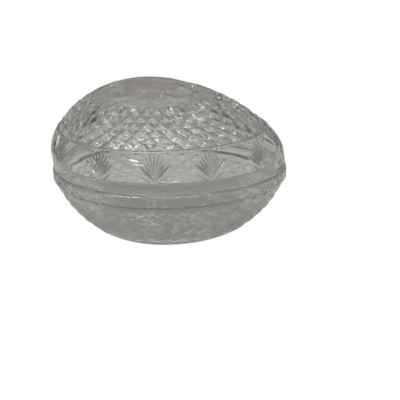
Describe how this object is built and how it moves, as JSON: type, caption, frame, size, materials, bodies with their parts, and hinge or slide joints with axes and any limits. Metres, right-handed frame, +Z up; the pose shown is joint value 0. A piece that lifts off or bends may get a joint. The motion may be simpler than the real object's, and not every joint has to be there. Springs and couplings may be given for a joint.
{
  "type": "powder jar",
  "caption": "Egg-shaped cut-crystal powder jar lying on its side: a deep glass bowl with a locating lip and a domed lift-off lid, cut with diamonds and fans.",
  "frame": {"origin": "on the resting plane, under the centre of the jar's bounding box", "axes": "+X along the egg towards its narrow end, +Y across it, +Z up; the smooth front with a fan at its middle looks towards -Y"},
  "size_m": [0.1141, 0.0864, 0.0776],
  "materials": {
    "bowl_glass": "clear lead crystal, pressed and cut, polished",
    "lid_glass": "clear lead crystal, pressed and cut, polished"
  },
  "bodies": {
    "bowl": {"bowl": "bowl_glass"},
    "lid": {"lid": "lid_glass"}
  },
  "joints": [
    {"name": "lid_lift", "type": "slide", "parent": "bowl", "child": "lid", "axis": [0, 0, 1], "range_m": [0, 0.07]}
  ]
}
